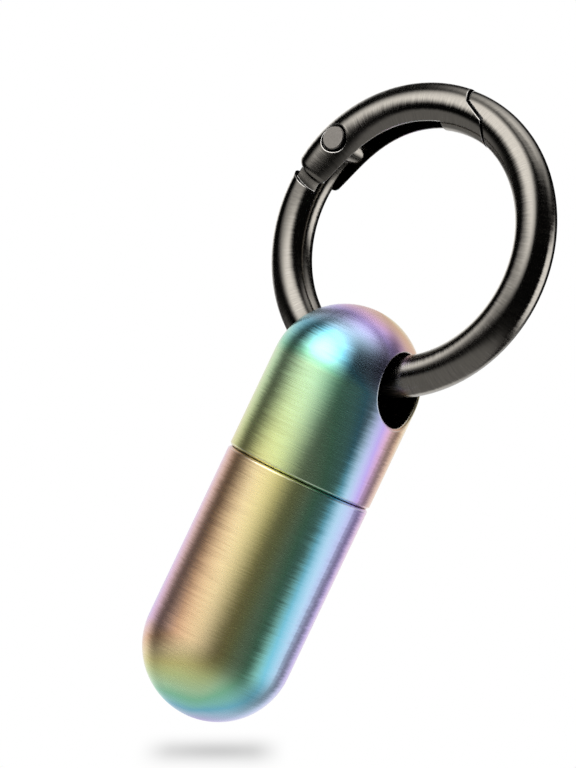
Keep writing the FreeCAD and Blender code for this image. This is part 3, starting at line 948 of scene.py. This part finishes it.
def tent_material(name, softboxes, shade, clear):
    """Dark cloth tent with softboxes, seen only in reflections. A clear one, of gauze, lets the
    next be seen too."""
    material, tree = new_material(name)
    spot = add_node(tree, "ShaderNodeTexCoord").outputs["Object"]
    aim = add_node(tree, "ShaderNodeVectorMath", {0: spot}, operation="NORMALIZE").outputs[0]
    rise = add_node(tree, "ShaderNodeSeparateXYZ", {0: aim}).outputs["Z"]
    height = add_node(tree, "ShaderNodeMath", {0: rise}, operation="ARCSINE").outputs[0]
    light = shade
    for box in softboxes.values():
        faced = add_node(
            tree,
            "ShaderNodeMapping",
            {"Vector": aim, "Rotation": (0.0, 0.0, -math.radians(box.turn))},
        ).outputs[0]
        parts = add_node(tree, "ShaderNodeSeparateXYZ", {0: faced}).outputs
        aside = add_node(
            tree, "ShaderNodeMath", {0: parts["Y"], 1: parts["X"]}, operation="ARCTAN2"
        ).outputs[0]
        above = add_node(
            tree, "ShaderNodeMath", {0: height, 1: math.radians(box.height)}, operation="SUBTRACT"
        ).outputs[0]
        share = box.light
        for off, even, fade in (
            (aside, box.wide, box.wide_fade), (above, box.tall, box.tall_fade)
        ):
            off = add_node(tree, "ShaderNodeMath", {0: off}, operation="ABSOLUTE").outputs[0]
            share = add_node(
                tree,
                "ShaderNodeMapRange",
                {
                    "Value": off,
                    "From Min": math.radians(even + fade),
                    "From Max": math.radians(even),
                    "To Max": share,
                },
                interpolation_type="SMOOTHSTEP",
            ).outputs[0]
        light = add_node(
            tree, "ShaderNodeMath", {0: share, 1: light}, operation="ADD"
        ).outputs[0]
    cloth = add_node(
        tree, "ShaderNodeEmission", {"Color": linear(WHITE), "Strength": light}
    ).outputs[0]
    if clear:
        gauze = add_node(tree, "ShaderNodeBsdfTransparent").outputs[0]
        cloth = add_node(tree, "ShaderNodeAddShader", {0: cloth, 1: gauze}).outputs[0]
    add_node(tree, "ShaderNodeOutputMaterial", {"Surface": cloth})
    material.cycles.emission_sampling = "NONE"
    return material


def light_tent(name, radius, material, lit):
    """A round tent about the fob that only the lit pieces reflect."""
    bpy.ops.mesh.primitive_uv_sphere_add(
        segments=TENT_ROUNDS, ring_count=TENT_RINGS, radius=radius
    )
    tent = bpy.context.object
    tent.name = name
    tent.data.materials.append(material)
    tent.visible_camera = False
    tent.visible_diffuse = False
    tent.visible_shadow = False
    group = bpy.data.collections.new(name + "_lit")
    for piece in lit:
        group.objects.link(piece)
    tent.light_linking.receiver_collection = group


def floor_film(name, look):
    """Clear film over the white surround. It shows only the shadow, where the fob shuts out the
    sky, so the tube is still seen where it comes down through it at the end of its travel."""
    material, tree = new_material(name)
    spot = add_node(tree, "ShaderNodeTexCoord").outputs["Object"]
    parts = add_node(tree, "ShaderNodeSeparateXYZ", {0: spot}).outputs
    strength = look.shadow_strength
    for place, even, end in (
        (parts["X"], look.shadow_even, look.shadow_width), (parts["Y"], 0.0, look.shadow_depth)
    ):
        off = add_node(tree, "ShaderNodeMath", {0: place}, operation="ABSOLUTE").outputs[0]
        strength = add_node(
            tree,
            "ShaderNodeMapRange",
            {"Value": off, "From Min": end, "From Max": even, "To Max": strength},
            interpolation_type="SMOOTHSTEP",
        ).outputs[0]
    sky = add_node(
        tree, "ShaderNodeAmbientOcclusion", {"Distance": look.tent_radius}, samples=SHADOW_SAMPLES
    ).outputs["AO"]
    shadow = add_node(
        tree, "ShaderNodeMapRange", {"Value": strength, "To Min": 1.0, "To Max": sky}
    ).outputs[0]
    clear = add_node(tree, "ShaderNodeBsdfTransparent", {"Color": shadow}).outputs[0]
    add_node(tree, "ShaderNodeOutputMaterial", {"Surface": clear})
    return material


def white_world(scene):
    """A white surround, with less light on matt surfaces than the eye sees behind them."""
    world = bpy.data.worlds.new("White Surround")
    scene.world = world
    world.use_nodes = True
    tree = world.node_tree
    tree.nodes.clear()
    path = add_node(tree, "ShaderNodeLightPath").outputs
    seen = path["Is Camera Ray"]
    for ray in ("Is Glossy Ray", "Is Transmission Ray"):
        seen = add_node(
            tree, "ShaderNodeMath", {0: seen, 1: path[ray]}, operation="MAXIMUM"
        ).outputs[0]
    strength = add_node(
        tree,
        "ShaderNodeMapRange",
        {"Value": seen, "To Min": SURROUND_LIGHT[0], "To Max": SURROUND_LIGHT[1]},
    ).outputs[0]
    sky = add_node(
        tree, "ShaderNodeBackground", {"Color": linear(WHITE), "Strength": strength}
    ).outputs[0]
    add_node(tree, "ShaderNodeOutputWorld", {"Surface": sky})


def photo_camera(scene, look):
    """Set the camera of the photograph, and give what is right, up and ahead in it."""
    ahead = Vector(look.camera_aim).normalized()
    right = ahead.cross(Vector(look.camera_up)).normalized()
    up = right.cross(ahead)
    camera_data = bpy.data.cameras.new("photo_camera")
    camera_data.lens = look.lens
    camera_data.clip_start = CLIP_START
    camera = bpy.data.objects.new("photo_camera", camera_data)
    turn = Matrix((right, up, -ahead)).transposed()
    camera.matrix_world = Matrix.Translation(look.camera_place) @ turn.to_4x4()
    scene.collection.objects.link(camera)
    scene.camera = camera
    return right, up, ahead


def lay_floor(look, right, up, ahead):
    """Lay the floor under the capsule as it hangs in the picture."""
    level = (up - ahead * math.tan(look.floor_tilt)).normalized()
    drop = up * (CAPSULE_RADIUS + look.floor_gap)
    bpy.ops.mesh.primitive_circle_add(
        vertices=FLOOR_SIDES,
        radius=look.floor_radius,
        fill_type="NGON",
        location=Vector((0, 0, TUBE_DOME_Z)) - drop - right * look.shadow_shift,
        rotation=Matrix((right, level.cross(right), level)).transposed().to_euler(),
    )
    floor = bpy.context.object
    floor.name = "floor"
    floor.visible_glossy = False
    floor.data.materials.append(floor_film("Clear Film, Shadow Only", look))


class FOB_OT_stage(bpy.types.Operator):
    """Set the camera, the floor and the light"""

    bl_idname = "fob.stage"
    bl_label = "Set Stage"

    def execute(self, context):
        scene = context.scene
        look = scene.fob_stage
        scene.view_settings.view_transform = "Standard"
        lay_floor(look, *photo_camera(scene, look))
        nodes = frame["nodes"]
        ring = [nodes[name] for name in ("ring_body", "ring_gate", "hinge_pin")]
        ring.append(bpy.data.objects["torsion_spring"])
        capsule = [nodes[name] for name in ("capsule_cap", "capsule_tube")]
        capsule.append(bpy.data.objects["o_ring"])
        gauze = tent_material("Tent Gauze and Softboxes", RING_TENT, RING_SHADE, True)
        cloth = tent_material("Tent Cloth and Softboxes", CAPSULE_TENT, CAPSULE_SHADE, False)
        light_tent("ring_tent", look.tent_radius, gauze, ring)
        light_tent("capsule_tent", look.tent_radius + look.tent_gap, cloth, capsule)
        white_world(scene)
        return {"FINISHED"}


class FOB_PT_panel(bpy.types.Panel):
    """The fob's operators and sizes"""

    bl_idname = "FOB_PT_panel"
    bl_label = "Pill Fob"
    bl_space_type = "VIEW_3D"
    bl_region_type = "UI"
    bl_category = "Pill Fob"

    def draw(self, context):
        for operator in OPERATORS:
            self.layout.operator(operator.bl_idname)
        for holder in LOOKS:
            group = getattr(context.scene, holder)
            self.layout.label(text=group.bl_rna.description)
            for prop in group.__annotations__:
                self.layout.prop(group, prop)


LOOKS = {
    "fob_capsule": FobCapsuleLook,
    "fob_ring": FobRingLook,
    "fob_spring": FobSpringSize,
    "fob_seal": FobSealSize,
    "fob_stage": FobStageLook,
}
OPERATORS = [FOB_OT_capsule, FOB_OT_ring, FOB_OT_spring, FOB_OT_seal, FOB_OT_stage]


def register():
    """Register the properties, the operators and the panel."""
    for group in LOOKS.values():
        bpy.utils.register_class(group)
    for operator in OPERATORS:
        bpy.utils.register_class(operator)
    bpy.utils.register_class(FOB_PT_panel)
    for holder, group in LOOKS.items():
        setattr(bpy.types.Scene, holder, bpy.props.PointerProperty(type=group))


def unregister():
    """Take back what register did, in reverse."""
    for holder in LOOKS:
        delattr(bpy.types.Scene, holder)
    bpy.utils.unregister_class(FOB_PT_panel)
    for operator in reversed(OPERATORS):
        bpy.utils.unregister_class(operator)
    for group in reversed(list(LOOKS.values())):
        bpy.utils.unregister_class(group)


def main():
    """Dress the fob."""
    register()
    bpy.ops.fob.capsule()
    bpy.ops.fob.ring()
    bpy.ops.fob.spring()
    bpy.ops.fob.seal()
    bpy.ops.fob.stage()


if __name__ == "__main__":
    main()
